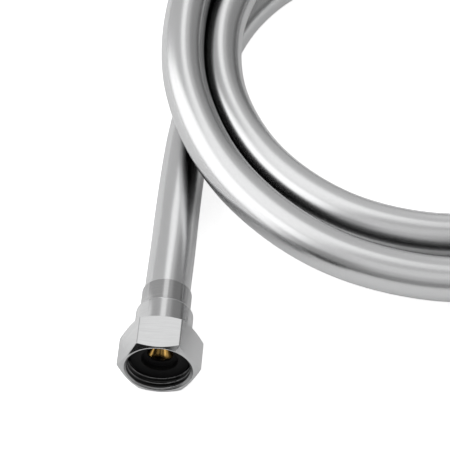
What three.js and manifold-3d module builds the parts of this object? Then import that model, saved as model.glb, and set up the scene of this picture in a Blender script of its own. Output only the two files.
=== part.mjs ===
// Shower hose, 1.5 m over its fittings, lying in a loose coil of two and a half turns.
// A smooth 14 mm hose carries a fitting at each end. In each fitting a captive union nut turns
// on a flanged nipple, and a thin ferrule crimps the hose onto the nipple's barbs.
// The mixer end has a hexagon nut with a round collar, the handset end a smooth tapered nut.
// Millimetres, +Z up, the floor at z = 0, the origin under the middle of the coil's footprint.

import * as THREE from 'three';
import { mergeVertices } from 'three/addons/utils/BufferGeometryUtils.js';
import Module from 'manifold-3d';

const wasm = await Module();
wasm.setup();

// Driving dimensions

const hoseDiameter = 14;
const hoseBore = 9;
const hoseSides = 12;
const hoseSteps = 76;

// gap between pieces that touch or turn on each other
const gap = 0.3;

// G 1/2 pipe thread of both nuts, modelled at its crest diameter
const threadCrest = 18.63;
const socketDepth = 9.5;
const leadIn = 0.9;

const acrossFlats = 21.9;
const hexLength = 12;
const hexFaceShare = 0.98;
const hexChamferAngle = 30;
// the turned blank that the flats are cut from reaches a little past their corners
const envelopeShare = 1.03;
const hexNutLength = 21;
const collarDiameter = 17.4;
const collarRound = 0.6;

const taperNutLength = 27;
const taperMouthDiameter = 24;
const taperBackDiameter = 17.6;
const taperRimLength = 5;
const taperMouthRound = 1.2;
const taperBulge = 0.8;
const taperSteps = 8;

// web inside each nut that bears on the nipple's flange
const webThickness = 2.5;
const webHole = 12.8;
const skirtBore = 15.9;

const washerThickness = 3;
const washerHole = 10.9;
const washerEdge = 0.3;

const flangeThickness = 2;
const nippleMouth = 9.1;
const nippleMouthDepth = 3.6;
const nippleBore = 6;
const nippleReach = 21;
const barbCount = 4;
const barbHeight = 0.55;
const barbsInset = 2;
const tipLength = 1;
const tipTaper = 0.3;
const ferruleSeatDiameter = 9.9;

const ferruleLength = 16.6;
const ferruleDiameter = 15.2;
const ferruleWall = 0.4;
const ferruleLip = 0.8;
const ferruleEdge = 0.25;

// cutters run this far past the ends that they open
const overrun = 1;

const nutSegments = 48;
const sleeveSegments = 36;
const nippleSegments = 24;
const roundPieces = 4;
const routeDivisions = 2000;

// corners of a mesh closer than this are one corner
const mergeDistance = 1e-4;

// Sizes that follow from those above

const hoseRadius = hoseDiameter / 2;
const flangeDiameter = threadCrest - 2 * gap;
const washerDiameter = threadCrest - 2 * gap;
const webBack = socketDepth + webThickness;
const flangeFront = socketDepth - gap - flangeThickness;
const washerFront = flangeFront - gap - washerThickness;
const ferruleFront = webBack + gap;
const ferruleBack = ferruleFront + ferruleLength;
const hoseEnd = ferruleFront + ferruleLip + gap;
const hoseBoreFlat = (hoseBore / 2) * Math.cos(Math.PI / hoseSides);
const barbRadius = hoseBoreFlat - gap;
const hexAxisHeight = acrossFlats / 2;
const taperAxisHeight = taperMouthDiameter / 2;

// Route of the hose's centre line, drawn on a floor plan whose zero lies beside the mixer tail

// the middle of the coil and its fittings on that plan, which becomes the part's origin
const footprintMiddle = [86.041, 54.955];

const mixerMouth = [-19.65, -66.55];
const mixerHeading = 85.9;
const handsetMouth = [192.3, 44.8];
const handsetHeading = 91.5;

// chosen points from the mixer fitting to the coil, where the hose comes down to the floor
// and passes under the two turns that lie across it: [x, y, height above its floor height]
const mixerTail = [
  [-16.2, -20, 2.8], [-15.1, -3, 0.9], [-13.7, 14, 0.1], [-11.8, 31, 0], [-8.8, 47.5, 0],
  [-4.4, 63.5, 0], [1.1, 79.5, 0], [8.7, 93.2, 0], [19.5, 105.6, 0], [34.6, 116.2, 0],
  [50.3, 123.6, 0],
];

// chosen points from the coil to the handset fitting, rising to its axis, counted on the plan
// from the middle of that fitting's mouth
const handsetTail = [[-24.8, 88.7, 0], [-11.1, 66.2, 0.8], [-2.7, 43.2, 3.7]];

// each turn is an oval: its middle, its mean radius and how the radius swells, twice a turn
const turns = [
  { middle: [77.5, 65.4], radius: 63, swell: [0, 0] },
  { middle: [77.5, 65.4], radius: 78.4, swell: [0.1, 5.1] },
  { middle: [81.7, 68.1], radius: 96.4, swell: [-2.3, 7.7] },
  { middle: [81.7, 68.1], radius: 112, swell: [0, 0] },
];
// degrees travelled clockwise from the left side: where the coil starts and ends, its step,
// and where it eases from each turn's oval to the next one's
const coilStart = 80;
const coilEnd = 840;
const coilStep = 20;
const easing = [[90, 255], [405, 615], [775, 905]];
// the long humps in which the middle and the outer turn pass over the tail and each other
const humps = [
  { at: 381, before: 87, after: 74, height: 14.8 },
  { at: 737, before: 75, after: 45, height: 23.4 },
];

// Helpers

const radians = THREE.MathUtils.degToRad;

function heading(degrees) {
  return new THREE.Vector3(Math.cos(radians(degrees)), Math.sin(radians(degrees)), 0);
}

function toSolid(geometry) {
  const bare = geometry.index ? geometry.toNonIndexed() : geometry.clone();
  bare.deleteAttribute('normal');
  bare.deleteAttribute('uv');
  const merged = mergeVertices(bare, mergeDistance);
  return new wasm.Manifold(new wasm.Mesh({
    numProp: 3,
    vertProperties: merged.attributes.position.array,
    triVerts: new Uint32Array(merged.index.array),
  }));
}

function toGeometry(solid) {
  const mesh = solid.getMesh();
  const geometry = new THREE.BufferGeometry();
  geometry.setAttribute('position', new THREE.BufferAttribute(mesh.vertProperties, 3));
  geometry.setIndex(new THREE.BufferAttribute(mesh.triVerts, 1));
  geometry.computeVertexNormals();
  return geometry;
}

// a turned solid about +Z from a closed outline of [radius, depth] corners, run so that the
// outside is on its right-hand side when radius points right and depth points up
function turned(outline, segments = nutSegments) {
  const corners = outline.map(([radius, depth]) => new THREE.Vector2(radius, depth));
  corners.push(corners[0].clone());
  return new THREE.LatheGeometry(corners, segments).rotateX(Math.PI / 2);
}

// corners of a quarter-round edge from angle a to b, in degrees, about a centre
function roundEdge(centreRadius, centreDepth, radius, from, to, pieces = roundPieces) {
  const corners = [];
  for (let i = 0; i <= pieces; i += 1) {
    const angle = radians(from + ((to - from) * i) / pieces);
    corners.push([centreRadius + radius * Math.cos(angle), centreDepth + radius * Math.sin(angle)]);
  }
  return corners;
}

function ringOfPoints(radius, sides) {
  const points = [];
  for (let i = 0; i < sides; i += 1) {
    const angle = (2 * Math.PI * (i + 0.5)) / sides;
    points.push(new THREE.Vector2(radius * Math.cos(angle), radius * Math.sin(angle)));
  }
  return points;
}

function finish(name, geometry, color, metalness, roughness) {
  const mesh = new THREE.Mesh(
    geometry,
    new THREE.MeshStandardMaterial({ color, metalness, roughness }),
  );
  mesh.name = name;
  return mesh;
}

// Route

const ease = (from, to, x) => THREE.MathUtils.smoothstep(x, from, to);

function turnShape(travelled) {
  const level = easing.reduce((sum, [from, to]) => sum + ease(from, to, travelled), 0);
  const index = Math.min(Math.floor(level), turns.length - 2);
  const mix = (a, b) => a + (b - a) * (level - index);
  const [inner, outer] = [turns[index], turns[index + 1]];
  return {
    middle: inner.middle.map((value, i) => mix(value, outer.middle[i])),
    radius: mix(inner.radius, outer.radius),
    swell: inner.swell.map((value, i) => mix(value, outer.swell[i])),
  };
}

function coilPoint(travelled) {
  const { middle, radius, swell } = turnShape(travelled);
  const angle = radians(180 - travelled);
  const reach = radius + swell[0] * Math.cos(2 * angle) + swell[1] * Math.sin(2 * angle);
  let height = hoseRadius;
  for (const hump of humps) {
    const width = travelled < hump.at ? hump.before : hump.after;
    height += hump.height * Math.exp(-(((travelled - hump.at) / width) ** 2));
  }
  return new THREE.Vector3(
    middle[0] + reach * Math.cos(angle),
    middle[1] + reach * Math.sin(angle),
    height,
  );
}

function fittingPoint(mouth, headingAngle, axisHeight, depth) {
  const start = new THREE.Vector3(mouth[0], mouth[1], axisHeight);
  return start.addScaledVector(heading(headingAngle), depth);
}

function hoseRoute() {
  const above = ([x, y, lift]) => new THREE.Vector3(x, y, hoseRadius + lift);
  const fromHandset = ([x, y, lift]) => above([handsetMouth[0] + x, handsetMouth[1] + y, lift]);
  const points = [
    fittingPoint(mixerMouth, mixerHeading, hexAxisHeight, hoseEnd),
    fittingPoint(mixerMouth, mixerHeading, hexAxisHeight, ferruleBack),
    ...mixerTail.map(above),
  ];
  for (let travelled = coilStart; travelled <= coilEnd; travelled += coilStep) {
    points.push(coilPoint(travelled));
  }
  points.push(...handsetTail.map(fromHandset));
  points.push(fittingPoint(handsetMouth, handsetHeading, taperAxisHeight, ferruleBack));
  points.push(fittingPoint(handsetMouth, handsetHeading, taperAxisHeight, hoseEnd));
  return new THREE.CatmullRomCurve3(points, false, 'catmullrom', 0.5);
}

// Pieces; each fitting is drawn from its mouth at depth 0 into the hose along +Z

function hose() {
  const section = new THREE.Shape(ringOfPoints(hoseRadius, hoseSides));
  section.holes.push(new THREE.Path(ringOfPoints(hoseBore / 2, hoseSides)));
  const route = hoseRoute();
  route.arcLengthDivisions = routeDivisions;
  return new THREE.ExtrudeGeometry(section, {
    steps: hoseSteps,
    extrudePath: route,
    bevelEnabled: false,
  });
}

// the room inside a nut: threaded socket, web hole and skirt bore, with a cone at the mouth
function nutCavity(nutLength) {
  const crest = threadCrest / 2;
  return toSolid(turned([
    [0, -overrun], [crest + leadIn + overrun, -overrun], [crest + leadIn, 0], [crest, leadIn],
    [crest, socketDepth], [webHole / 2, socketDepth], [webHole / 2, webBack],
    [skirtBore / 2, webBack], [skirtBore / 2, nutLength + overrun], [0, nutLength + overrun],
  ]));
}

function hexNut() {
  const corner = acrossFlats / 2 / Math.cos(Math.PI / 6);
  const face = (acrossFlats / 2) * hexFaceShare;
  const wide = corner * envelopeShare;
  const chamfer = (wide - face) * Math.tan(radians(hexChamferAngle));
  const collar = collarDiameter / 2;
  const envelope = toSolid(turned([
    [0, 0], [face, 0], [wide, chamfer], [wide, hexLength - chamfer], [face, hexLength],
    [collar, hexLength],
    ...roundEdge(collar - collarRound, hexNutLength - collarRound, collarRound, 0, 90),
    [0, hexNutLength],
  ]));
  const outline = new THREE.Shape();
  for (let i = 0; i < 6; i += 1) {
    const angle = (Math.PI / 3) * i;
    const at = [corner * Math.cos(angle), corner * Math.sin(angle)];
    if (i === 0) outline.moveTo(...at);
    else outline.lineTo(...at);
  }
  const prism = toSolid(new THREE.ExtrudeGeometry(outline, {
    depth: hexNutLength,
    bevelEnabled: false,
  }));
  return toGeometry(envelope.intersect(prism).subtract(nutCavity(hexNutLength)));
}

function taperNut() {
  const mouth = taperMouthDiameter / 2;
  const back = taperBackDiameter / 2;
  const shoulders = [];
  for (let i = 0; i <= taperSteps; i += 1) {
    const share = i / taperSteps;
    const depth = taperRimLength + share * (taperNutLength - taperRimLength - collarRound);
    shoulders.push([mouth + (back - mouth) * ease(0, 1, share ** taperBulge), depth]);
  }
  const outside = toSolid(turned([
    [0, 0],
    ...roundEdge(mouth - taperMouthRound, taperMouthRound, taperMouthRound, -90, 0),
    ...shoulders,
    [back - collarRound, taperNutLength],
    [0, taperNutLength],
  ]));
  return toGeometry(outside.subtract(nutCavity(taperNutLength)));
}

// flange, neck inside the web, seat of the ferrule's lip and barbs in the hose, with the
// flared mouth that shows through the washer
function nipple() {
  const flange = flangeDiameter / 2;
  const neck = webHole / 2 - gap;
  const seat = ferruleSeatDiameter / 2;
  const barbsStart = hoseEnd + barbsInset;
  const barbsEnd = hoseEnd + nippleReach - barbsInset;
  const pitch = (barbsEnd - barbsStart) / barbCount;
  const barbs = [];
  for (let i = 0; i < barbCount; i += 1) {
    barbs.push([barbRadius, barbsStart + pitch * i]);
    barbs.push([barbRadius - barbHeight, barbsStart + pitch * (i + 1)]);
  }
  const end = hoseEnd + nippleReach;
  return turned([
    [nippleMouth / 2, flangeFront], [flange, flangeFront], [flange, flangeFront + flangeThickness],
    [neck, flangeFront + flangeThickness], [neck, webBack], [seat, webBack], [seat, hoseEnd - gap],
    [barbRadius - barbHeight, hoseEnd - gap], [barbRadius - barbHeight, barbsStart],
    ...barbs,
    [barbRadius - barbHeight, end - tipLength], [barbRadius - barbHeight - tipTaper, end],
    [nippleBore / 2, end], [nippleBore / 2, flangeFront + nippleMouthDepth],
  ], nippleSegments);
}

function ferrule() {
  const outer = ferruleDiameter / 2;
  const inner = outer - ferruleWall;
  const lipHole = ferruleSeatDiameter / 2 + gap;
  return turned([
    [lipHole, ferruleFront],
    ...roundEdge(outer - ferruleLip, ferruleFront + ferruleLip, ferruleLip, -90, 0),
    [outer, ferruleBack - ferruleEdge], [outer - ferruleEdge / 2, ferruleBack],
    [inner, ferruleBack], [inner, ferruleFront + ferruleLip], [lipHole, ferruleFront + ferruleLip],
  ], sleeveSegments);
}

function washer() {
  const outer = washerDiameter / 2;
  const back = washerFront + washerThickness;
  return turned([
    [washerHole / 2, washerFront], [outer - washerEdge, washerFront],
    [outer, washerFront + washerEdge], [outer, back - washerEdge], [outer - washerEdge, back],
    [washerHole / 2, back],
  ], sleeveSegments);
}

// Colours and finishes

const satinSilver = (name, geometry) => finish(name, geometry, 0xb9bcbf, 0.55, 0.35);
const brushedChrome = (name, geometry) => finish(name, geometry, 0xc4c5c7, 0.95, 0.28);
const brushedSteel = (name, geometry) => finish(name, geometry, 0x8f8f90, 0.95, 0.38);
const brass = (name, geometry) => finish(name, geometry, 0xb08a45, 0.95, 0.25);
const blackRubber = (name, geometry) => finish(name, geometry, 0x17181a, 0, 0.7);

// Assembly

function fitting(end, nut, mouth, headingAngle, axisHeight) {
  const group = new THREE.Group();
  group.add(brushedChrome(`${end}_nut`, nut));
  group.add(brass(`${end}_nipple`, nipple()));
  group.add(brushedSteel(`${end}_ferrule`, ferrule()));
  group.add(blackRubber(`${end}_washer`, washer()));
  const inward = heading(headingAngle);
  const up = new THREE.Vector3(0, 0, 1);
  const side = new THREE.Vector3().crossVectors(up, inward);
  group.quaternion.setFromRotationMatrix(new THREE.Matrix4().makeBasis(side, up, inward));
  group.position.set(mouth[0], mouth[1], axisHeight);
  return group;
}

const assembly = new THREE.Group();
assembly.add(satinSilver('hose', hose()));
assembly.add(fitting('mixer', hexNut(), mixerMouth, mixerHeading, hexAxisHeight));
assembly.add(fitting('handset', taperNut(), handsetMouth, handsetHeading, taperAxisHeight));
assembly.position.set(-footprintMiddle[0], -footprintMiddle[1], 0);

const part = new THREE.Group();
part.add(assembly);

export default part;
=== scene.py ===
"""Shower hose in a loose coil, with a union nut, nipple, ferrule and washer at each end.

All sizes are in metres. Every piece is a closed grid of points worked out from a few sizes.
"""

import math

import bpy
import numpy as np
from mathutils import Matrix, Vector


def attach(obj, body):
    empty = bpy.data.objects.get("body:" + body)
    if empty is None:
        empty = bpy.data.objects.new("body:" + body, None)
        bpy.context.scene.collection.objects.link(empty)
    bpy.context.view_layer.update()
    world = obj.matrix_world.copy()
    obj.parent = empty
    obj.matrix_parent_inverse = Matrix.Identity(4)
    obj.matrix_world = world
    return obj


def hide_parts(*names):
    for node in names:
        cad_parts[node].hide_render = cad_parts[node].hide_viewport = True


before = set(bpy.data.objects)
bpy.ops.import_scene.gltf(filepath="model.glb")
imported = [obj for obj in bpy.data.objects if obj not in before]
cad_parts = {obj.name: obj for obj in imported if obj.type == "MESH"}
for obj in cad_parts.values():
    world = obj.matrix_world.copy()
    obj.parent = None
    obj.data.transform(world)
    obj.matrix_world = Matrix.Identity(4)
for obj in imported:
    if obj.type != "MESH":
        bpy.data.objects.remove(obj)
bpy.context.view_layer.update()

bl_info = {
    "name": "Shower hose",
    "version": (1, 0, 0),
    "blender": (4, 5, 0),
    "location": "3D View > Sidebar > Shower hose",
    "description": "Builds a coiled shower hose with its union nuts, nipples, ferrules and washers",
    "category": "Object",
}

# The plan's own zero lies beside the mixer tail; this point of it is the part's origin.
PLAN_MIDDLE = np.array([0.086041, 0.054955, 0.0])
CAMERA_PLACE = np.array([0.0, -0.4624, 0.52634]) - PLAN_MIDDLE
CAMERA_TARGET = -PLAN_MIDDLE

MIXER_MOUTH = (-0.01965, -0.06655)
MIXER_HEADING = 85.9
HANDSET_MOUTH = (0.1923, 0.0448)
HANDSET_HEADING = 91.5

# Route of the hose's centre line on the plan.
MIXER_TAIL = [
    (-0.0162, -0.020, 0.0028), (-0.0151, -0.003, 0.0009), (-0.0137, 0.014, 0.0001),
    (-0.0118, 0.031, 0.0), (-0.0088, 0.0475, 0.0), (-0.0044, 0.0635, 0.0),
    (0.0011, 0.0795, 0.0), (0.0087, 0.0932, 0.0), (0.0195, 0.1056, 0.0),
    (0.0346, 0.1162, 0.0), (0.0503, 0.1236, 0.0),
]
# counted from the middle of the handset fitting's mouth
HANDSET_TAIL = [(-0.0248, 0.0887, 0.0), (-0.0111, 0.0662, 0.0008), (-0.0027, 0.0432, 0.0037)]
# each turn's oval: middle x, middle y, mean radius, and two amounts by which the radius swells
TURNS = np.array([
    (0.0775, 0.0654, 0.0630, 0.0, 0.0),
    (0.0775, 0.0654, 0.0784, 0.0001, 0.0051),
    (0.0817, 0.0681, 0.0964, -0.0023, 0.0077),
    (0.0817, 0.0681, 0.1120, 0.0, 0.0),
])
# degrees travelled from the left side, clockwise
COIL_START = 80
COIL_END = 840
COIL_STEP = 20
EASING = ((90, 255), (405, 615), (775, 905))
# humps over the strands below: place, spread before, spread after, height
HUMPS = ((381, 87, 74, 0.0148), (737, 75, 45, 0.0234))

# The hexagon's chamfer starts at this share of its inscribed circle, at an angle in degrees.
CHAMFER_START = 0.965
CHAMFER_ANGLE = 30
# the tapered nut's stations along its taper, how early it narrows, and the straight end
TAPER_STATIONS = 17
TAPER_EARLINESS = 0.8
TAPER_END = 0.0006
# rounding of the thread's crests, and the pitches over which its grooves fade in at the mouth
THREAD_ROUNDING = 0.02
THREAD_FADE = 0.8
# the share of a side that a rounded corner may take, and how far each kind of edge is rounded
SIDE_SHARE = 0.45
FINE_EDGE = 0.00012
COLLAR_EDGE = 0.0007
TAPER_EDGE = 0.0012
WASHER_EDGE = 0.0003
NIPPLE_EDGE = 0.00008
FERRULE_EDGES = (0.0001, 0.0008, 0.00022, 0.00012, 0.0001, 0.0001)
# barbs on the nipple's tail: how many, how far from its ends, and the steep side of each
BARBS = 4
BARBS_INSET = 0.002
BARB_STEP = 0.0002
TIP_LENGTH = 0.001
TIP_TAPER = 0.0003
# the solid's bore has twelve sides, and the barbs stay inside them
BORE_SIDES = 12

# painted shade on the hose: openness at which a crowded point is painted black, and at which it is
# free of it: on sides that face the key light, on sides turned away from it, and on undersides
LIT_RAMP = (0.0, 0.28)
SHADED_RAMP = (0.3, 0.84)
BENEATH_RAMP = (0.28, 0.82)
# which way a side turned away faces, from which cosine to which it comes in, and how far its
# view leans downwards
SHADED_SIDE = (0.8, 0.6, 0.0)
SHADED_TURN = (-0.5, 0.1)
SHADED_LEAN = 0.6
# the same for an underside
BENEATH_SIDE = (0.0, 0.0, -1.0)
BENEATH_TURN = (0.0, 0.4)
# how near the crests of a thread crowd its grooves, for the painted shade in them
GROOVE_REACH = 0.0016

# what reflections see of the studio: azimuth clockwise from +Y, elevation, brightness; a later
# card stands in front of an earlier one
CARDS = (
    ("room", (0, 360), (-8, 90), 0.62),
    ("front_wall", (124, 206), (36, 74), 0.85),
    ("right_wall", (24, 128), (-8, 52), 0.34),
    ("right_low", (24, 130), (-8, 20), 0.14),
    ("front_low", (112, 206), (-8, 27), 0.30),
    ("front_left", (194, 228), (-8, 40), 0.30),
    ("front_dark", (190, 226), (-8, 12), 0.04),
    ("back_strip", (336, 374), (14, 68), 1.3),
    ("top_front", (96, 216), (66, 90), 0.62),
    ("top_back", (210, 396), (58, 90), 1.35),
    ("top_right", (26, 104), (58, 90), 0.95),
    ("key_low", (226, 306), (2, 46), 1.65),
    ("key_high", (216, 306), (28, 64), 1.7),
)
# the first card's distance from the part, and how much nearer each later one stands
STUDIO_RADIUS = 1.6
CARD_GAP = 0.02
# two cards close to the hexagon nut, with their distances: a black flag before the top of its
# mouth, and a white reflector beside its left flat and its collar
NUT_FLAG = ("nut_flag", (160, 244), (-32, 18), 0.01, 0.055)
NUT_REFLECTOR = ("nut_reflector", (294, 336), (-40, 38), 1.06, 0.032)
# how far a card fades in from its edge, in degrees
CARD_FADE = 9.0
CARD_STEP = 2

KEY_PLACE = (-0.9, 0.1, 0.7)
KEY_WIDTH = 0.7
KEY_TARGET = (-0.03, -0.03, 0.01)
FLOOR_REACH = 4.0
FLOOR_DROP = 0.0001
# brightness added to the floor for the camera and in reflections
FLOOR_LIFT = (0.75, 0.12)


def size(name, default, description):
    """A length that a user can change."""
    return bpy.props.FloatProperty(
        name=name, default=default, description=description, unit="LENGTH", precision=5
    )


def tint(name, default, description):
    """A colour that a user can change."""
    return bpy.props.FloatVectorProperty(
        name=name, default=default, description=description, subtype="COLOR", min=0.0, max=1.0
    )


class HoseSettings(bpy.types.PropertyGroup):
    """Sizes and colours of the hose."""

    diameter: size("Diameter", 0.014, "Outside of the hose")
    bore: size("Bore", 0.009, "Inside of the hose")
    ring_spacing: size("Ring spacing", 0.0024, "Distance between the rings of the mesh")
    # painted shade: how near another strand must come before shade is painted on the hose
    crowding: size("Crowding", 0.012, "How near another strand darkens the hose")
    silver: tint("Silver", (0.64, 0.642, 0.646), "Metallic layer under the clear skin")
    shade: tint("Shade", (0.59, 0.592, 0.596), "Darker flecks in the metallic layer")


class NutSettings(bpy.types.PropertyGroup):
    """Sizes and colours of the two union nuts."""

    thread_crest: size("Thread crest", 0.01863, "Diameter over the crests of the inside thread")
    thread_root: size("Thread root", 0.02083, "Diameter at the roots of the inside thread")
    thread_pitch: size("Thread pitch", 0.001814, "Distance from one crest to the next")
    socket_depth: size("Socket depth", 0.0095, "From the mouth to the web")
    lead_in: size("Lead-in", 0.0009, "Cone at the mouth of the thread")
    web_back: size("Web back", 0.012, "From the mouth to the far side of the web")
    web_hole: size("Web hole", 0.0128, "Hole in the web that holds the nipple's neck")
    skirt_bore: size("Skirt bore", 0.0159, "Bore behind the web")
    across_flats: size("Across flats", 0.0219, "Hexagon across its flats")
    flat_corner: size("Corner rounding", 0.00045, "Rounding of the hexagon's corners")
    hex_length: size("Hexagon length", 0.012, "Length of the hexagon")
    hex_nut_length: size("Hexagon nut length", 0.021, "From the mouth to the end of the collar")
    collar: size("Collar", 0.0174, "Diameter of the round collar")
    taper_length: size("Tapered nut length", 0.027, "Length of the smooth nut")
    taper_mouth: size("Tapered nut mouth", 0.024, "Diameter of the smooth nut at its mouth")
    taper_back: size("Tapered nut back", 0.0176, "Diameter of the smooth nut at its back")
    taper_rim: size("Tapered nut rim", 0.005, "Straight length before the taper")
    # painted shade: the colour in the grooves of the inside thread
    shadowed: tint("Inside", (0.02, 0.02, 0.02), "Colour in the grooves of the inside thread")
    chrome: tint("Chrome", (0.545, 0.547, 0.55), "Colour of the brushed nuts")


class SleeveSettings(bpy.types.PropertyGroup):
    """Sizes and colours of the ferrules, the nipples and the washers."""

    ferrule_diameter: size("Ferrule diameter", 0.0152, "Outside of the ferrule")
    ferrule_length: size("Ferrule length", 0.0166, "Length of the ferrule")
    ferrule_wall: size("Ferrule wall", 0.0004, "Wall of the ferrule")
    ferrule_lip: size("Ferrule lip", 0.0008, "Turned-in end of the ferrule")
    ferrule_seat: size("Ferrule seat", 0.0099, "Part of the nipple that the lip grips")
    flange_thickness: size("Flange thickness", 0.002, "Flange of the nipple")
    nipple_mouth: size("Nipple mouth", 0.0091, "Widest part of the flared mouth")
    nipple_mouth_depth: size("Mouth depth", 0.0036, "Depth of the flared mouth")
    nipple_bore: size("Nipple bore", 0.006, "Waterway through the nipple")
    nipple_reach: size("Nipple reach", 0.021, "Barbed length inside the hose")
    barb_height: size("Barb height", 0.00055, "Height of each barb")
    washer_thickness: size("Washer thickness", 0.003, "Thickness of the washer")
    washer_hole: size("Washer hole", 0.0109, "Hole in the washer at its front")
    washer_back_hole: size("Washer back hole", 0.0077, "Hole in the washer at the nipple")
    washer_lip: size("Washer lip", 0.0009, "Thickness of the washer's inner lip")
    gap: size("Gap", 0.0003, "Clearance between pieces")
    steel: tint("Steel", (0.47, 0.47, 0.472), "Colour of the ferrules")
    brass: tint("Brass", (1.0, 0.78, 0.42), "Colour of the nipples")
    rubber: tint("Rubber", (0.003, 0.003, 0.0032), "Colour of the washers")


class StageSettings(bpy.types.PropertyGroup):
    """The camera, the white background, the lamp and the floor."""

    lens: bpy.props.FloatProperty(
        name="Lens", default=176.0, description="Focal length in millimetres"
    )
    backdrop: bpy.props.FloatProperty(
        name="Backdrop", default=1.0, description="Brightness of the white background"
    )
    fill: bpy.props.FloatProperty(
        name="Fill", default=0.7, description="Brightness of the room's light on the object"
    )
    key: bpy.props.FloatProperty(
        name="Key", default=4.2, description="Power of the large lamp on the left, in watts"
    )
    floor: tint("Floor", (0.82, 0.82, 0.82), "Colour of the floor")


# Shapes


def heading(degrees):
    """Level unit vector that points that many degrees round from +X."""
    angle = math.radians(degrees)
    return np.array([math.cos(angle), math.sin(angle), 0.0])


class Fitting:
    """Place of one end fitting: the middle of its mouth, and the direction into the hose."""

    def __init__(self, mouth, degrees, axis_height):
        self.mouth = np.array([*mouth, axis_height]) - PLAN_MIDDLE
        self.inward = heading(degrees)
        self.up = np.array([0.0, 0.0, 1.0])
        self.side = np.cross(self.up, self.inward)

    def at(self, depth):
        """Point on the axis at a depth behind the mouth."""
        return self.mouth + depth * self.inward

    def place(self, radius, angle, depth):
        """Cylinder coordinates about the axis, as points of the part.

        A point is the mouth plus radius times cosine of the angle along the side, radius times
        sine of the angle upwards, and the depth inwards.
        """
        return (
            self.mouth
            + (radius * np.cos(angle))[..., None] * self.side
            + (radius * np.sin(angle))[..., None] * self.up
            + depth[..., None] * self.inward
        )


def fittings(nuts):
    """The mixer end stands on a flat of its hexagon, the handset end on its round mouth."""
    return {
        "mixer": Fitting(MIXER_MOUTH, MIXER_HEADING, nuts.across_flats / 2),
        "handset": Fitting(HANDSET_MOUTH, HANDSET_HEADING, nuts.taper_mouth / 2),
    }


def smooth_step(x, start, end):
    """0 before start, 1 after end, and 3 t^2 - 2 t^3 between them."""
    t = np.clip((x - start) / (end - start), 0.0, 1.0)
    return t * t * (3 - 2 * t)


def coil_points(hose_radius):
    """Centre line of the coiled turns, on the plan.

    A point's distance from its turn's middle is the mean radius, plus one swell times the cosine
    and the other times the sine of twice its angle. Each turn eases into the next one's oval. Its
    height is the hose's radius plus a bell curve for each place where the hose passes over itself.
    """
    travelled = np.arange(COIL_START, COIL_END + COIL_STEP, COIL_STEP, dtype=float)
    level = sum(smooth_step(travelled, start, end) for start, end in EASING)
    lower = np.minimum(level.astype(int), len(TURNS) - 2)
    share = (level - lower)[:, None]
    shape = TURNS[lower] * (1 - share) + TURNS[lower + 1] * share
    middle_x, middle_y, radius, swell_cos, swell_sin = shape.T
    angle = np.radians(180 - travelled)
    reach = radius + swell_cos * np.cos(2 * angle) + swell_sin * np.sin(2 * angle)
    height = np.full(len(travelled), hose_radius)
    for place, before, after, rise in HUMPS:
        spread = np.where(travelled < place, before, after)
        height += rise * np.exp(-(((travelled - place) / spread) ** 2))
    return np.stack([middle_x + reach * np.cos(angle), middle_y + reach * np.sin(angle), height], 1)


def spline(points, steps=40):
    """Curve through the points: on each span, the cubic whose slope at a point is half the
    difference of its two neighbours. The ends continue straight."""
    ends = np.vstack([2 * points[0] - points[1], points, 2 * points[-1] - points[-2]])
    a, b, c, d = (ends[k:len(ends) - 3 + k, None, :] for k in range(4))
    t = (np.arange(steps) / steps)[None, :, None]
    curve = 0.5 * (
        2 * b + (c - a) * t + (2 * a - 5 * b + 4 * c - d) * t**2 + (3 * b - a - 3 * c + d) * t**3
    )
    return np.vstack([curve.reshape(-1, 3), points[-1:]])


def evenly(points, spacing):
    """The same line as points a given distance apart, near enough."""
    travelled = np.concatenate([[0], np.cumsum(np.linalg.norm(np.diff(points, axis=0), axis=1))])
    count = int(round(travelled[-1] / spacing)) + 1
    places = np.linspace(0, travelled[-1], count)
    line = np.stack([np.interp(places, travelled, points[:, k]) for k in range(3)], 1)
    return line, places


def hose_line(settings, sleeves, nuts, spacing):
    """Centre line of the hose from inside one ferrule to inside the other."""
    ends = fittings(nuts)
    radius = settings.diameter / 2
    ferrule_front = nuts.web_back + sleeves.gap
    hose_end = ferrule_front + sleeves.ferrule_lip + sleeves.gap
    ferrule_back = ferrule_front + sleeves.ferrule_length
    lift = np.array([0.0, 0.0, radius]) - PLAN_MIDDLE
    coil = coil_points(radius) - PLAN_MIDDLE
    points = np.vstack([
        ends["mixer"].at(hose_end),
        ends["mixer"].at(ferrule_back),
        np.array(MIXER_TAIL) + lift,
        coil,
        np.array(HANDSET_TAIL) + [*HANDSET_MOUTH, 0.0] + lift,
        ends["handset"].at(ferrule_back),
        ends["handset"].at(hose_end),
    ])
    return evenly(spline(points), spacing)


def softened(corners, reach, pieces=3):
    """Closed outline with every corner rounded.

    Each corner is cut back along both its sides by its reach, or by nearly half the side where
    that is short, and joined by the quadratic curve whose handle is the corner. The last axis
    holds radius and depth, the one before it the corners.
    """
    before = np.roll(corners, 1, axis=-2) - corners
    after = np.roll(corners, -1, axis=-2) - corners
    long_before = np.linalg.norm(before, axis=-1, keepdims=True)
    long_after = np.linalg.norm(after, axis=-1, keepdims=True)
    reach = np.asarray(reach)[:, None]
    start = corners + before / long_before * np.minimum(reach, SIDE_SHARE * long_before)
    end = corners + after / long_after * np.minimum(reach, SIDE_SHARE * long_after)
    t = np.linspace(0, 1, pieces + 1)[:, None]
    rows = [x[..., None, :] for x in (start, corners, end)]
    curve = (1 - t) ** 2 * rows[0] + 2 * t * (1 - t) * rows[1] + t**2 * rows[2]
    return curve.reshape(*corners.shape[:-2], -1, 2)


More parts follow.
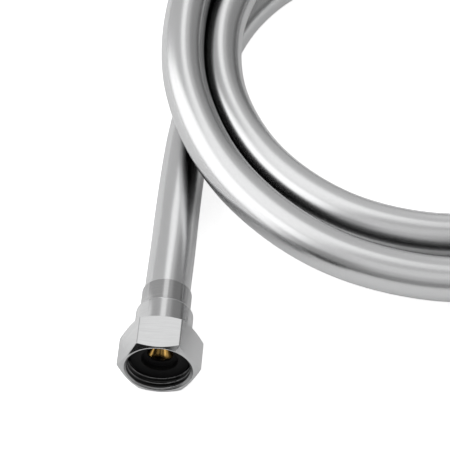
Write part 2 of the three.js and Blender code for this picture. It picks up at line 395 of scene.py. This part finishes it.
def thread_rows(nuts, angle, deep_end, mouth_end, rows=84):
    """Radius and depth of an inside thread, for each angle and a fine row of depths.

    The radius is the crest's plus the thread's depth times the size of the sine of half the
    phase, rounded at the crests, where the phase turns once for each pitch along the axis and
    once round the axis. The grooves fade in at the mouth and out before the web. Where the
    mouth's cone is wider than the thread, the cone's radius holds.
    """
    depth = np.linspace(deep_end, mouth_end, rows)[None, :] + 0 * angle[:, None]
    phase = depth / nuts.thread_pitch + angle[:, None] / (2 * np.pi)
    groove = np.sqrt(np.sin(np.pi * phase) ** 2 + THREAD_ROUNDING) - math.sqrt(THREAD_ROUNDING)
    fade = smooth_step(depth, 0.0, THREAD_FADE * nuts.thread_pitch)
    fade = fade * (1 - smooth_step(depth, nuts.socket_depth - nuts.thread_pitch, nuts.socket_depth))
    crest = nuts.thread_crest / 2
    cut = crest + (nuts.thread_root / 2 - crest) * groove * fade
    cone = crest + np.maximum(nuts.lead_in - depth, 0)
    return np.stack([np.maximum(cut, cone), depth], -1)


def nut_inside(nuts, nut_length):
    """Corners of a nut's inside, from the back of its skirt to the foot of its socket."""
    return [
        (nuts.skirt_bore / 2, nut_length),
        (nuts.skirt_bore / 2, nuts.web_back),
        (nuts.web_hole / 2, nuts.web_back),
        (nuts.web_hole / 2, nuts.socket_depth),
        (nuts.thread_crest / 2, nuts.socket_depth),
    ]


def closed_grid(name, points, along, around):
    """Mesh of a grid that closes on itself both ways.

    Point (i, j) is joined to (i+1, j), (i+1, j+1) and (i, j+1), counted round from the last to
    the first. The UV map holds the distance around and along in metres, one step past the seam.
    Faces are turned outwards by the sign of the enclosed volume, which is the sum over the faces
    of their middle dotted with half the cross product of their diagonals.
    """
    rows, columns = points.shape[:2]
    i, j = np.meshgrid(np.arange(rows), np.arange(columns), indexing="ij")
    row = np.stack([i, i + 1, i + 1, i], -1).reshape(-1, 4)
    column = np.stack([j, j, j + 1, j + 1], -1).reshape(-1, 4)
    flat = points.reshape(-1, 3)
    corner = (row % rows) * columns + column % columns
    quad = flat[corner]
    normal = np.cross(quad[:, 2] - quad[:, 0], quad[:, 3] - quad[:, 1])
    if (quad.mean(1) * normal).sum() < 0:
        corner, row, column = corner[:, ::-1], row[:, ::-1], column[:, ::-1]
    mesh = bpy.data.meshes.new(name)
    mesh.vertices.add(len(flat))
    mesh.vertices.foreach_set("co", flat.astype(np.float32).ravel())
    mesh.loops.add(corner.size)
    mesh.loops.foreach_set("vertex_index", corner.astype(np.int32).ravel())
    mesh.polygons.add(len(corner))
    mesh.polygons.foreach_set("loop_start", np.arange(0, corner.size, 4, dtype=np.int32))
    mesh.polygons.foreach_set("loop_total", np.full(len(corner), 4, dtype=np.int32))
    mesh.polygons.foreach_set("use_smooth", np.ones(len(corner), dtype=bool))
    surface = mesh.uv_layers.new(name="surface")
    uv = np.stack([around[row, column], along[row, column]], -1)
    surface.data.foreach_set("uv", uv.astype(np.float32).ravel())
    mesh.update(calc_edges=True)
    mesh.validate()
    piece = bpy.data.objects.new(name, mesh)
    bpy.context.scene.collection.objects.link(piece)
    return piece


def turned(name, fitting, outline, angle):
    """Piece made by carrying an outline round the fitting's axis.

    The outline holds radius and depth, either one for all angles or one for each angle.
    """
    outline = np.broadcast_to(outline, (len(angle), *outline.shape[-2:]))
    radius, depth = outline[..., 0].T, outline[..., 1].T
    points = fitting.place(radius, np.broadcast_to(angle, radius.shape), depth)
    step = np.linalg.norm(np.diff(np.vstack([points, points[:1]]), axis=0), axis=-1).mean(1)
    along = np.concatenate([[0], np.cumsum(step)])
    around = np.append(angle, angle[0] + 2 * np.pi) * radius.max()
    along, around = np.meshgrid(along, around, indexing="ij")
    piece = closed_grid(name, points, along, around)
    weights = piece.modifiers.new("even shading", "WEIGHTED_NORMAL")
    weights.weight = 80
    return piece


def line_inside(piece, columns, first_row, material):
    """Gives the faces of a grid from a row on, which are a nut's inside, another material."""
    piece.data.materials.append(material)
    second = np.arange(len(piece.data.polygons)) // columns >= first_row
    piece.data.polygons.foreach_set("material_index", second.astype(np.int32))


def full_turn(columns):
    """Even angles once round, without the last, which is the first again."""
    return np.linspace(0, 2 * np.pi, columns, endpoint=False)


# Materials


def new_material(name):
    """A material with its node tree, and the shader that it starts with."""
    material = bpy.data.materials.new(name)
    material.use_nodes = True
    tree = material.node_tree
    return material, tree, tree.nodes["Principled BSDF"]


def surface_noise(tree, across, along, detail=3.0):
    """Noise on the piece's own UV map, with so many cells to the metre each way."""
    uv = tree.nodes.new("ShaderNodeUVMap")
    uv.uv_map = "surface"
    mapping = tree.nodes.new("ShaderNodeMapping")
    mapping.inputs["Scale"].default_value = (across, along, 1.0)
    noise = tree.nodes.new("ShaderNodeTexNoise")
    noise.inputs["Scale"].default_value = 1.0
    noise.inputs["Detail"].default_value = detail
    tree.links.new(uv.outputs["UV"], mapping.inputs["Vector"])
    tree.links.new(mapping.outputs["Vector"], noise.inputs["Vector"])
    return noise.outputs["Fac"]


def object_noise(tree, scale, detail=3.0):
    """Noise on Object coordinates, with so many cells to the metre."""
    place = tree.nodes.new("ShaderNodeTexCoord")
    noise = tree.nodes.new("ShaderNodeTexNoise")
    noise.inputs["Scale"].default_value = scale
    noise.inputs["Detail"].default_value = detail
    tree.links.new(place.outputs["Object"], noise.inputs["Vector"])
    return noise.outputs["Fac"]


def between(tree, factor, low, high, start=0.3, end=0.7):
    """Colours from low to high as the factor goes from start to end."""
    ramp = tree.nodes.new("ShaderNodeValToRGB")
    ramp.color_ramp.elements[0].position = start
    ramp.color_ramp.elements[1].position = end
    ramp.color_ramp.elements[0].color = (*low, 1.0)
    ramp.color_ramp.elements[1].color = (*high, 1.0)
    tree.links.new(factor, ramp.inputs["Fac"])
    return ramp.outputs["Color"]


def spread(tree, factor, low, high):
    """A number from low to high as the factor goes from 0.3 to 0.7."""
    span = tree.nodes.new("ShaderNodeMapRange")
    span.inputs["From Min"].default_value = 0.3
    span.inputs["From Max"].default_value = 0.7
    span.inputs["To Min"].default_value = low
    span.inputs["To Max"].default_value = high
    tree.links.new(factor, span.inputs["Value"])
    return span.outputs["Result"]


def bumped(tree, shader, height, strength, distance):
    """Fine relief from a height."""
    bump = tree.nodes.new("ShaderNodeBump")
    bump.inputs["Strength"].default_value = strength
    bump.inputs["Distance"].default_value = distance
    tree.links.new(height, bump.inputs["Height"])
    tree.links.new(bump.outputs["Normal"], shader.inputs["Normal"])


def openness(tree, reach, downwards=0.0):
    """How free a point is of the piece's own other surfaces within the reach.

    The side looked at may lean downwards from the surface's own.
    """
    crowd = tree.nodes.new("ShaderNodeAmbientOcclusion")
    crowd.only_local = True
    crowd.samples = 8
    crowd.inputs["Distance"].default_value = reach
    if downwards:
        surface = tree.nodes.new("ShaderNodeNewGeometry")
        lean = tree.nodes.new("ShaderNodeVectorMath")
        lean.inputs[1].default_value = (0.0, 0.0, -downwards)
        tree.links.new(surface.outputs["Normal"], lean.inputs[0])
        tree.links.new(lean.outputs["Vector"], crowd.inputs["Normal"])
    return crowd.outputs["AO"]


def turned_to(tree, direction, start, end):
    """0 to 1 as the cosine between the surface's normal and a direction goes from start to end."""
    surface = tree.nodes.new("ShaderNodeNewGeometry")
    cosine = tree.nodes.new("ShaderNodeVectorMath")
    cosine.operation = "DOT_PRODUCT"
    cosine.inputs[1].default_value = direction
    share = tree.nodes.new("ShaderNodeMapRange")
    share.inputs["From Min"].default_value = start
    share.inputs["From Max"].default_value = end
    tree.links.new(surface.outputs["Normal"], cosine.inputs[0])
    tree.links.new(cosine.outputs["Value"], share.inputs["Value"])
    return share.outputs["Result"]


def painted_strand_shade(tree, reach):
    """Painted shade: 0 where other strands crowd a point within the reach, and 1 where it is free.

    Sides that face the front left, where the key light fills the gaps, keep less painted shade,
    and undersides, which the floor closes off too, go dark sooner.
    """
    black, white = (0.0, 0.0, 0.0), (1.0, 1.0, 1.0)
    straight = openness(tree, reach)
    leaning = openness(tree, reach, SHADED_LEAN)
    lit = between(tree, straight, black, white, *LIT_RAMP)
    shaded = between(tree, leaning, black, white, *SHADED_RAMP)
    beneath = between(tree, straight, black, white, *BENEATH_RAMP)
    turned_away = turned_to(tree, SHADED_SIDE, *SHADED_TURN)
    facing_down = turned_to(tree, BENEATH_SIDE, *BENEATH_TURN)
    shade = blended(tree, "MIX", turned_away, lit, shaded)
    return blended(tree, "MIX", facing_down, shade, beneath)


def blended(tree, kind, share, first, second):
    """Two colours put together by a share, which is a number or a node's output."""
    blend = tree.nodes.new("ShaderNodeMix")
    blend.data_type = "RGBA"
    blend.blend_type = kind
    if isinstance(share, float):
        blend.inputs["Factor"].default_value = share
    else:
        tree.links.new(share, blend.inputs["Factor"])
    colours = [socket for socket in blend.inputs if socket.type == "RGBA"]
    tree.links.new(first, colours[0])
    tree.links.new(second, colours[1])
    return next(socket for socket in blend.outputs if socket.type == "RGBA")


def darker(colour, share):
    """The colour at a share of its brightness."""
    return tuple(share * channel for channel in colour)


def silver_vinyl(settings):
    """Metallic foil under a clear satin skin: fine flecks, faint lines drawn along the hose, and
    painted shade where strands crowd it.
    """
    material, tree, shader = new_material("silver_vinyl")
    fleck = object_noise(tree, 2600.0, 4.0)
    drawn = surface_noise(tree, 1400.0, 18.0)
    colour = between(tree, fleck, tuple(settings.shade), tuple(settings.silver), 0.25, 0.6)
    # painted shade: darkens the colour and the reflections' tint where other strands crowd the hose
    shade = painted_strand_shade(tree, settings.crowding)
    tree.links.new(blended(tree, "MULTIPLY", 1.0, colour, shade), shader.inputs["Base Color"])
    tree.links.new(shade, shader.inputs["Specular Tint"])
    tree.links.new(spread(tree, drawn, 0.23, 0.25), shader.inputs["Roughness"])
    shader.inputs["Metallic"].default_value = 1.0
    bumped(tree, shader, fleck, 0.02, 0.0001)
    return material


def brushed_metal(name, colour, low, high, relief=0.1):
    """Metal with fine lines that run round the piece, as a lathe or a belt leaves them."""
    material, tree, shader = new_material(name)
    lines = surface_noise(tree, 50.0, 5200.0, 3.0)
    patches = object_noise(tree, 220.0)
    tone = between(tree, lines, darker(colour, 0.91), tuple(colour), 0.35, 0.62)
    tree.links.new(tone, shader.inputs["Base Color"])
    tree.links.new(spread(tree, patches, low, high), shader.inputs["Roughness"])
    shader.inputs["Metallic"].default_value = 1.0
    bumped(tree, shader, lines, relief, 0.00004)
    return material


def thread_painted_shade(dark, bright):
    """Thread in plain metal with painted shade: black in its grooves and dimmed on its crests."""
    material, tree, shader = new_material("thread_painted_shade")
    lines = surface_noise(tree, 90.0, 9000.0, 5.0)
    tree.links.new(spread(tree, lines, 0.22, 0.32), shader.inputs["Roughness"])
    free = openness(tree, GROOVE_REACH)
    # painted shade: black where the crests crowd a groove, dimmed chrome where a crest is free
    tone = between(tree, free, tuple(dark), darker(bright, 0.6), 0.8, 0.98)
    tree.links.new(tone, shader.inputs["Base Color"])
    shader.inputs["Metallic"].default_value = 1.0
    return material


def turned_brass(colour):
    """Clean turned brass with faint tool rings, and painted reflections in dark and golden bands
    along it.
    """
    material, tree, shader = new_material("turned_brass")
    rings = surface_noise(tree, 60.0, 5000.0)
    # painted reflections: dark and golden bands that run along the axis
    painted_reflection_bands = surface_noise(tree, 170.0, 12.0, 0.0)
    tone = between(tree, painted_reflection_bands, darker(colour, 0.18), tuple(colour), 0.42, 0.56)
    tree.links.new(tone, shader.inputs["Base Color"])
    tree.links.new(spread(tree, rings, 0.1, 0.16), shader.inputs["Roughness"])
    shader.inputs["Metallic"].default_value = 1.0
    bumped(tree, shader, rings, 0.08, 0.00004)
    return material


def black_rubber(colour):
    """Moulded black rubber with a dusty grain."""
    material, tree, shader = new_material("black_rubber")
    grain = object_noise(tree, 3500.0, 5.0)
    tone = between(tree, grain, tuple(colour), darker(colour, 1.8))
    tree.links.new(tone, shader.inputs["Base Color"])
    tree.links.new(spread(tree, grain, 0.5, 0.68), shader.inputs["Roughness"])
    shader.inputs["Specular IOR Level"].default_value = 0.15
    bumped(tree, shader, grain, 0.2, 0.00005)
    return material


def clothe(piece, material, body, node):
    """Gives a piece its material and its body, and hides the solid that it stands for."""
    piece.data.materials.append(material)
    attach(piece, body)
    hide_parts(node)


# Operators


def settings_of(context):
    """The settings of the hose, the nuts, the sleeves and the stage."""
    scene = context.scene
    return scene.hose_sizes, scene.nut_sizes, scene.sleeve_sizes, scene.stage_sizes


def add_object(name, data):
    """A new object in the scene."""
    made = bpy.data.objects.new(name, data)
    bpy.context.scene.collection.objects.link(made)
    return made


def aim(thing, place, target):
    """Puts a lamp or a camera at a place and points it at a target."""
    direction = Vector(target) - Vector(place)
    thing.location = place
    thing.rotation_euler = direction.to_track_quat("-Z", "Y").to_euler()


def seen_level(tree, to_camera, in_reflections, otherwise):
    """A brightness for camera rays, one for glossy and transmission rays, and one for the rest."""
    path = tree.nodes.new("ShaderNodeLightPath")
    level = None
    for kind, value in (
        ("Is Glossy Ray", in_reflections),
        ("Is Transmission Ray", in_reflections),
        ("Is Camera Ray", to_camera),
    ):
        choice = tree.nodes.new("ShaderNodeMix")
        choice.inputs["A"].default_value = otherwise
        choice.inputs["B"].default_value = value
        tree.links.new(path.outputs[kind], choice.inputs["Factor"])
        if level is not None:
            tree.links.new(level, choice.inputs["A"])
        level = choice.outputs["Result"]
    return level


def white_world(stage):
    """White to the camera and in reflections, and a plain fill light on everything."""
    world = bpy.data.worlds.new("studio")
    world.use_nodes = True
    tree = world.node_tree
    background = tree.nodes["Background"]
    background.inputs["Color"].default_value = (1.0, 1.0, 1.0, 1.0)
    strength = seen_level(tree, stage.backdrop, stage.backdrop, stage.fill)
    tree.links.new(strength, background.inputs["Strength"])
    bpy.context.scene.world = world


def studio_floor(stage):
    """A pale floor just under the part. It lifts to white for the camera and keeps a shadow."""
    corner = np.array([(-1, -1, 0), (1, -1, 0), (1, 1, 0), (-1, 1, 0)])
    mesh = bpy.data.meshes.new("studio_floor")
    mesh.from_pydata((FLOOR_REACH * corner - [0, 0, FLOOR_DROP]).tolist(), [], [(0, 1, 2, 3)])
    floor = add_object("studio_floor", mesh)
    material, tree, shader = new_material("studio_floor")
    grain = object_noise(tree, 40.0)
    colour = between(tree, grain, darker(stage.floor, 0.98), tuple(stage.floor))
    tree.links.new(colour, shader.inputs["Base Color"])
    shader.inputs["Roughness"].default_value = 0.9
    shader.inputs["Specular IOR Level"].default_value = 0.0
    shader.inputs["Emission Color"].default_value = (1.0, 1.0, 1.0, 1.0)
    lift = seen_level(tree, *FLOOR_LIFT, 0.0)
    tree.links.new(lift, shader.inputs["Emission Strength"])
    mesh.materials.append(material)


def card(name, azimuth, elevation, level, radius, middle=(0.0, 0.0, 0.0)):
    """A card that only reflections see: a patch of a sphere round a place, faded at its edges.

    Its points are the radius times the direction at an azimuth, clockwise from +Y, and an
    elevation above the floor. Its cover is a smooth step of the angle to its nearest edge, and
    is whole all over where the card goes all the way round.
    """
    turn, rise = np.meshgrid(
        np.arange(azimuth[0], azimuth[1] + 1.0, CARD_STEP),
        np.arange(elevation[0], elevation[1] + 1.0, CARD_STEP),
        indexing="ij",
    )
    to_edge = np.min([turn - azimuth[0], azimuth[1] - turn, rise - elevation[0]], axis=0)
    if elevation[1] < 90:
        to_edge = np.minimum(to_edge, elevation[1] - rise)
    cover = smooth_step(to_edge, 0.0, CARD_FADE)
    if azimuth[1] - azimuth[0] == 360:
        cover = np.ones_like(turn)
    turn, rise = np.radians(turn), np.radians(rise)
    level_x, level_y = np.sin(turn) * np.cos(rise), np.cos(turn) * np.cos(rise)
    points = radius * np.stack([level_x, level_y, np.sin(rise)], -1)
    made = add_object(name, sheet_of(name, points, cover))
    made.location = middle
    made.data.materials.append(glowing_card(name, level))
    made.visible_camera = False
    made.visible_diffuse = False
    made.visible_shadow = False


def sheet_of(name, points, cover):
    """Mesh of an open grid of points, with a cover for each of them."""
    rows, columns = cover.shape
    first = (np.arange(rows - 1)[:, None] * columns + np.arange(columns - 1)).ravel()
    faces = np.stack([first, first + columns, first + columns + 1, first + 1], 1)
    mesh = bpy.data.meshes.new(name)
    mesh.from_pydata(points.reshape(-1, 3).tolist(), [], faces.tolist())
    covers = mesh.attributes.new("cover", "FLOAT", "POINT")
    covers.data.foreach_set("value", cover.astype(np.float32).ravel())
    return mesh


def glowing_card(name, level):
    """Glow of one brightness that clears towards the card's edges."""
    material, tree, shader = new_material(name)
    glow = tree.nodes.new("ShaderNodeEmission")
    glow.inputs["Strength"].default_value = level
    clear = tree.nodes.new("ShaderNodeBsdfTransparent")
    share = tree.nodes.new("ShaderNodeAttribute")
    share.attribute_name = "cover"
    blend = tree.nodes.new("ShaderNodeMixShader")
    tree.links.new(share.outputs["Fac"], blend.inputs["Fac"])
    tree.links.new(clear.outputs["BSDF"], blend.inputs[1])
    tree.links.new(glow.outputs["Emission"], blend.inputs[2])
    tree.links.new(blend.outputs["Shader"], tree.nodes["Material Output"].inputs["Surface"])
    tree.nodes.remove(shader)
    return material


def soft_box(name, place, width, power):
    """A square lamp that points at the coil. The key cards stand for it in reflections."""
    data = bpy.data.lights.new(name, "AREA")
    data.size = width
    data.energy = power
    lamp = add_object(name, data)
    lamp.visible_glossy = False
    aim(lamp, place, KEY_TARGET)


class SHOWERHOSE_OT_stage(bpy.types.Operator):
    """Make the camera, the floor, the white background, the cards and the lamp"""

    bl_idname = "shower_hose.stage"
    bl_label = "Stage"

    def execute(self, context):
        _, nuts, _, stage = settings_of(context)
        view = bpy.data.cameras.new("camera")
        view.lens = stage.lens
        view.sensor_width = 36.0
        view.clip_start = 0.01
        camera = add_object("camera", view)
        aim(camera, CAMERA_PLACE, CAMERA_TARGET)
        context.scene.camera = camera
        context.scene.view_settings.view_transform = "Standard"
        white_world(stage)
        studio_floor(stage)
        for order, (name, azimuth, elevation, level) in enumerate(CARDS):
            card(name, azimuth, elevation, level, STUDIO_RADIUS - CARD_GAP * order)
        nut = fittings(nuts)["mixer"]
        card(*NUT_FLAG, nut.mouth + nuts.across_flats / 2 * nut.up)
        beside = nut.at(nuts.hex_length) + nuts.across_flats / 4 * (nut.side + nut.up)
        card(*NUT_REFLECTOR, beside)
        soft_box("key_lamp", KEY_PLACE, KEY_WIDTH, stage.key)
        return {"FINISHED"}


class SHOWERHOSE_OT_nuts(bpy.types.Operator):
    """Make the hexagon union nut and the tapered one, with their inside threads"""

    bl_idname = "shower_hose.nuts"
    bl_label = "Union nuts"

    def execute(self, context):
        nuts = settings_of(context)[1]
        ends = fittings(nuts)
        chrome = brushed_metal("brushed_chrome", nuts.chrome, 0.15, 0.2, 0.04)
        # the nut's inside has painted shade: black in the grooves of its thread
        inside = thread_painted_shade(nuts.shadowed, nuts.chrome)
        for end, shape in (("mixer", hexagon_nut), ("handset", tapered_nut)):
            piece, columns, inside_row = shape(nuts, ends[end])
            clothe(piece, chrome, f"{end}_nut", f"{end}_nut")
            line_inside(piece, columns, inside_row, inside)
        return {"FINISHED"}


def hexagon_outline(across, corner_radius, per_flat=12, per_corner=9):
    """Angles and distances from the axis once round a hexagon with rounded corners.

    It is a smaller hexagon's outline moved outwards by the rounding: straight along each flat,
    and an arc about each of the smaller one's corners.
    """
    inner = (across / 2 - corner_radius) / math.cos(math.pi / 6)
    corner = np.arange(6)[:, None] * np.pi / 3
    arc = corner + np.radians(np.linspace(-30, 30, per_corner))[None, :]
    arcs_x = inner * np.cos(corner) + corner_radius * np.cos(arc)
    arcs_y = inner * np.sin(corner) + corner_radius * np.sin(arc)
    share = np.linspace(0, 1, per_flat + 2)[1:-1][None, :]
    flats_x = arcs_x[:, -1:] * (1 - share) + np.roll(arcs_x[:, :1], -1, axis=0) * share
    flats_y = arcs_y[:, -1:] * (1 - share) + np.roll(arcs_y[:, :1], -1, axis=0) * share
    x = np.hstack([arcs_x, flats_x]).ravel()
    y = np.hstack([arcs_y, flats_y]).ravel()
    return np.unwrap(np.arctan2(y, x)), np.hypot(x, y)


def hexagon_nut(nuts, fitting):
    """Hexagon with a round collar behind it.

    At each angle the flat's radius is the hexagon's, and the chamfers at both ends are cones
    that start just inside the inscribed circle, so they reach deepest at the corners.
    """
    angle, reach = hexagon_outline(nuts.across_flats, nuts.flat_corner)
    face = CHAMFER_START * nuts.across_flats / 2
    chamfer = (reach - face) * math.tan(math.radians(CHAMFER_ANGLE))
    level = 0 * reach
    collar = nuts.collar / 2
    outside = [
        (level + nuts.thread_crest / 2 + nuts.lead_in, level),
        (level + face, level),
        (reach, chamfer),
        (reach, nuts.hex_length - chamfer),
        (level + face, level + nuts.hex_length),
        (level + collar, level + nuts.hex_length),
        (level + collar, level + nuts.hex_nut_length),
    ]
    inside = [
        (level + radius, level + depth)
        for radius, depth in nut_inside(nuts, nuts.hex_nut_length)
    ]
    corners = np.array(outside + inside).transpose(2, 0, 1)
    reaches = np.full(corners.shape[1], FINE_EDGE)
    reaches[len(outside) - 1] = COLLAR_EDGE
    shell = softened(corners, reaches)
    inside_row = shell.shape[1] * len(outside) // corners.shape[1]
    thread = thread_rows(nuts, angle, nuts.socket_depth - 2 * FINE_EDGE, 2 * FINE_EDGE)
    piece = turned("mixer_union_nut", fitting, np.concatenate([shell, thread], axis=1), angle)
    return piece, len(angle), inside_row


def tapered_nut(nuts, fitting):
    """Smooth nut that narrows from its mouth to its back along a smooth step."""
    angle = full_turn(120)
    mouth = nuts.taper_mouth / 2
    back = nuts.taper_back / 2
    share = np.linspace(0, 1, TAPER_STATIONS)
    depth = nuts.taper_rim + share * (nuts.taper_length - nuts.taper_rim - TAPER_END)
    narrowed = smooth_step(share**TAPER_EARLINESS, 0, 1)
    taper = np.stack([mouth + (back - mouth) * narrowed, depth], 1)
    outside = [
        (nuts.thread_crest / 2 + nuts.lead_in, 0.0),
        (mouth, 0.0),
        *taper,
        (back, nuts.taper_length),
    ]
    corners = np.array(outside + nut_inside(nuts, nuts.taper_length))
    reaches = np.full(len(corners), FINE_EDGE)
    reaches[1] = TAPER_EDGE
    shell = softened(corners, reaches)
    inside_row = len(shell) * len(outside) // len(corners)
    shell = np.broadcast_to(shell, (len(angle), *shell.shape))
    thread = thread_rows(nuts, angle, nuts.socket_depth - 2 * FINE_EDGE, 2 * FINE_EDGE)
    piece = turned("handset_union_nut", fitting, np.concatenate([shell, thread], axis=1), angle)
    return piece, len(angle), inside_row


class SHOWERHOSE_OT_nipples(bpy.types.Operator):
    """Make the flanged brass nipples that the nuts turn on"""

    bl_idname = "shower_hose.nipples"
    bl_label = "Nipples"

    def execute(self, context):
        hose, nuts, sleeves, _ = settings_of(context)
        brass = turned_brass(sleeves.brass)
        for end, fitting in fittings(nuts).items():
            piece = nipple(f"{end}_brass_nipple", fitting, hose, nuts, sleeves)
            clothe(piece, brass, "root", f"{end}_nipple")
        return {"FINISHED"}


def nipple(name, fitting, hose, nuts, sleeves):
    """Flange, neck, seat of the ferrule's lip and barbs, with a flared mouth."""
    gap = sleeves.gap
    flange = nuts.thread_crest / 2 - gap
    flange_front = nuts.socket_depth - gap - sleeves.flange_thickness
    flange_back = nuts.socket_depth - gap
    neck = nuts.web_hole / 2 - gap
    seat = sleeves.ferrule_seat / 2
    start = nuts.web_back + 2 * gap + sleeves.ferrule_lip
    crest = hose.bore / 2 * math.cos(math.pi / BORE_SIDES) - gap
    root = crest - sleeves.barb_height
    end = start + sleeves.nipple_reach
    steps = np.linspace(start + BARBS_INSET, end - BARBS_INSET, BARBS + 1)
    barbs = np.stack([np.tile([crest, root], BARBS), np.repeat(steps, 2)[1:-1]], 1)
    barbs[::2, 1] = steps[:-1]
    barbs[1::2, 1] = steps[1:]
    corners = np.array([
        (sleeves.nipple_mouth / 2, flange_front),
        (flange, flange_front),
        (flange, flange_back),
        (neck, flange_back),
        (neck, nuts.web_back),
        (seat, nuts.web_back),
        (seat, start - gap),
        (root, start - gap),
        (root, start + BARBS_INSET - BARB_STEP),
        *barbs,
        (root, end - TIP_LENGTH),
        (root - TIP_TAPER, end),
        (sleeves.nipple_bore / 2, end),
        (sleeves.nipple_bore / 2, flange_front + sleeves.nipple_mouth_depth),
    ])
    outline = softened(corners, np.full(len(corners), NIPPLE_EDGE))
    return turned(name, fitting, outline, full_turn(72))


class SHOWERHOSE_OT_ferrules(bpy.types.Operator):
    """Make the thin steel ferrules that crimp the hose onto the nipples"""

    bl_idname = "shower_hose.ferrules"
    bl_label = "Ferrules"

    def execute(self, context):
        _, nuts, sleeves, _ = settings_of(context)
        steel = brushed_metal("brushed_steel", sleeves.steel, 0.12, 0.18, 0.05)
        for end, fitting in fittings(nuts).items():
            piece = ferrule(f"{end}_steel_ferrule", fitting, nuts, sleeves)
            clothe(piece, steel, "root", f"{end}_ferrule")
        return {"FINISHED"}


def ferrule(name, fitting, nuts, sleeves):
    """Drawn sleeve with a lip turned in at the nut's end."""
    outer = sleeves.ferrule_diameter / 2
    inner = outer - sleeves.ferrule_wall
    hole = sleeves.ferrule_seat / 2 + sleeves.gap
    front = nuts.web_back + sleeves.gap
    lip = front + sleeves.ferrule_lip
    back = front + sleeves.ferrule_length
    corners = np.array([
        (hole, front), (outer, front), (outer, back), (inner, back), (inner, lip), (hole, lip),
    ])
    outline = softened(corners, FERRULE_EDGES, 5)
    return turned(name, fitting, outline, full_turn(96))


class SHOWERHOSE_OT_washers(bpy.types.Operator):
    """Make the black rubber washers that seal on the nipples' flanges"""

    bl_idname = "shower_hose.washers"
    bl_label = "Washers"

    def execute(self, context):
        _, nuts, sleeves, _ = settings_of(context)
        rubber = black_rubber(sleeves.rubber)
        for end, fitting in fittings(nuts).items():
            piece = washer(f"{end}_rubber_washer", fitting, nuts, sleeves)
            clothe(piece, rubber, "root", f"{end}_washer")
        return {"FINISHED"}


def washer(name, fitting, nuts, sleeves):
    """Flat ring with rounded edges, and a thin lip inwards at the nipple."""
    outer = nuts.thread_crest / 2 - sleeves.gap
    hole = sleeves.washer_hole / 2
    back = nuts.socket_depth - 2 * sleeves.gap - sleeves.flange_thickness
    front = back - sleeves.washer_thickness
    back_hole = sleeves.washer_back_hole / 2
    lip = back - sleeves.washer_lip
    corners = np.array([
        (hole, front), (outer, front), (outer, back),
        (back_hole, back), (back_hole, lip), (hole, lip),
    ])
    outline = softened(corners, np.full(len(corners), WASHER_EDGE), 4)
    return turned(name, fitting, outline, full_turn(96))


class SHOWERHOSE_OT_hose(bpy.types.Operator):
    """Make the coiled hose"""

    bl_idname = "shower_hose.hose"
    bl_label = "Hose"

    def execute(self, context):
        settings, nuts, sleeves, _ = settings_of(context)
        line, places = hose_line(settings, sleeves, nuts, settings.ring_spacing)
        piece = hollow_hose(settings, line, places)
        clothe(piece, silver_vinyl(settings), "root", "hose")
        ferrule_back = nuts.web_back + sleeves.gap + sleeves.ferrule_length
        fittings(nuts)["mixer"].at(ferrule_back)
        return {"FINISHED"}


def hollow_hose(settings, line, places, sides=64, thin=4):
    """Tube with a wall, along the line.

    Each ring stands across the line: its sideways axis is up crossed with the line's direction,
    its other axis the direction crossed with that. The outside runs forwards along every point
    of the line and the bore back along every fourth one, so the grid closes on itself.
    """
    count = len(line)
    direction = np.gradient(line, axis=0)
    direction /= np.linalg.norm(direction, axis=1, keepdims=True)
    side = np.cross([0.0, 0.0, 1.0], direction)
    side /= np.linalg.norm(side, axis=1, keepdims=True)
    upward = np.cross(direction, side)
    back = np.unique(np.append(np.arange(0, count, thin), count - 1))[::-1]
    order = np.concatenate([np.arange(count), back])
    radius = np.where(np.arange(len(order)) < count, settings.diameter / 2, settings.bore / 2)
    angle = full_turn(sides)
    level, rise = np.cos(angle)[:, None], np.sin(angle)[:, None]
    ring = level * side[order][:, None] + rise * upward[order][:, None]
    points = line[order][:, None] + radius[:, None, None] * ring
    along = np.append(places[order], places[0])
    around = np.append(angle, 2 * np.pi) * settings.diameter / 2
    along, around = np.meshgrid(along, around, indexing="ij")
    return closed_grid("coiled_hose", points, along, around)


class SHOWERHOSE_PT_parts(bpy.types.Panel):
    """Lists the pieces of the hose and their sizes"""

    bl_idname = "SHOWERHOSE_PT_parts"
    bl_label = "Shower hose"
    bl_space_type = "VIEW_3D"
    bl_region_type = "UI"
    bl_category = "Shower hose"

    def draw(self, context):
        layout = self.layout
        for operator in OPERATORS:
            layout.operator(operator.bl_idname)
        for settings in settings_of(context):
            box = layout.box()
            for name in settings.__annotations__:
                box.prop(settings, name)


OPERATORS = (
    SHOWERHOSE_OT_stage,
    SHOWERHOSE_OT_nuts,
    SHOWERHOSE_OT_nipples,
    SHOWERHOSE_OT_ferrules,
    SHOWERHOSE_OT_washers,
    SHOWERHOSE_OT_hose,
)
GROUPS = {
    "hose_sizes": HoseSettings,
    "nut_sizes": NutSettings,
    "sleeve_sizes": SleeveSettings,
    "stage_sizes": StageSettings,
}


def register():
    """Makes the settings, the operators and the panel known."""
    for name, group in GROUPS.items():
        bpy.utils.register_class(group)
        setattr(bpy.types.Scene, name, bpy.props.PointerProperty(type=group))
    for kind in (*OPERATORS, SHOWERHOSE_PT_parts):
        bpy.utils.register_class(kind)


def unregister():
    """Takes them away again."""
    for kind in (SHOWERHOSE_PT_parts, *reversed(OPERATORS)):
        bpy.utils.unregister_class(kind)
    for name, group in reversed(GROUPS.items()):
        delattr(bpy.types.Scene, name)
        bpy.utils.unregister_class(group)


def main():
    """Builds the stage and every piece."""
    register()
    bpy.ops.shower_hose.stage()
    bpy.ops.shower_hose.nuts()
    bpy.ops.shower_hose.nipples()
    bpy.ops.shower_hose.ferrules()
    bpy.ops.shower_hose.washers()
    bpy.ops.shower_hose.hose()


if __name__ == "__main__":
    main()
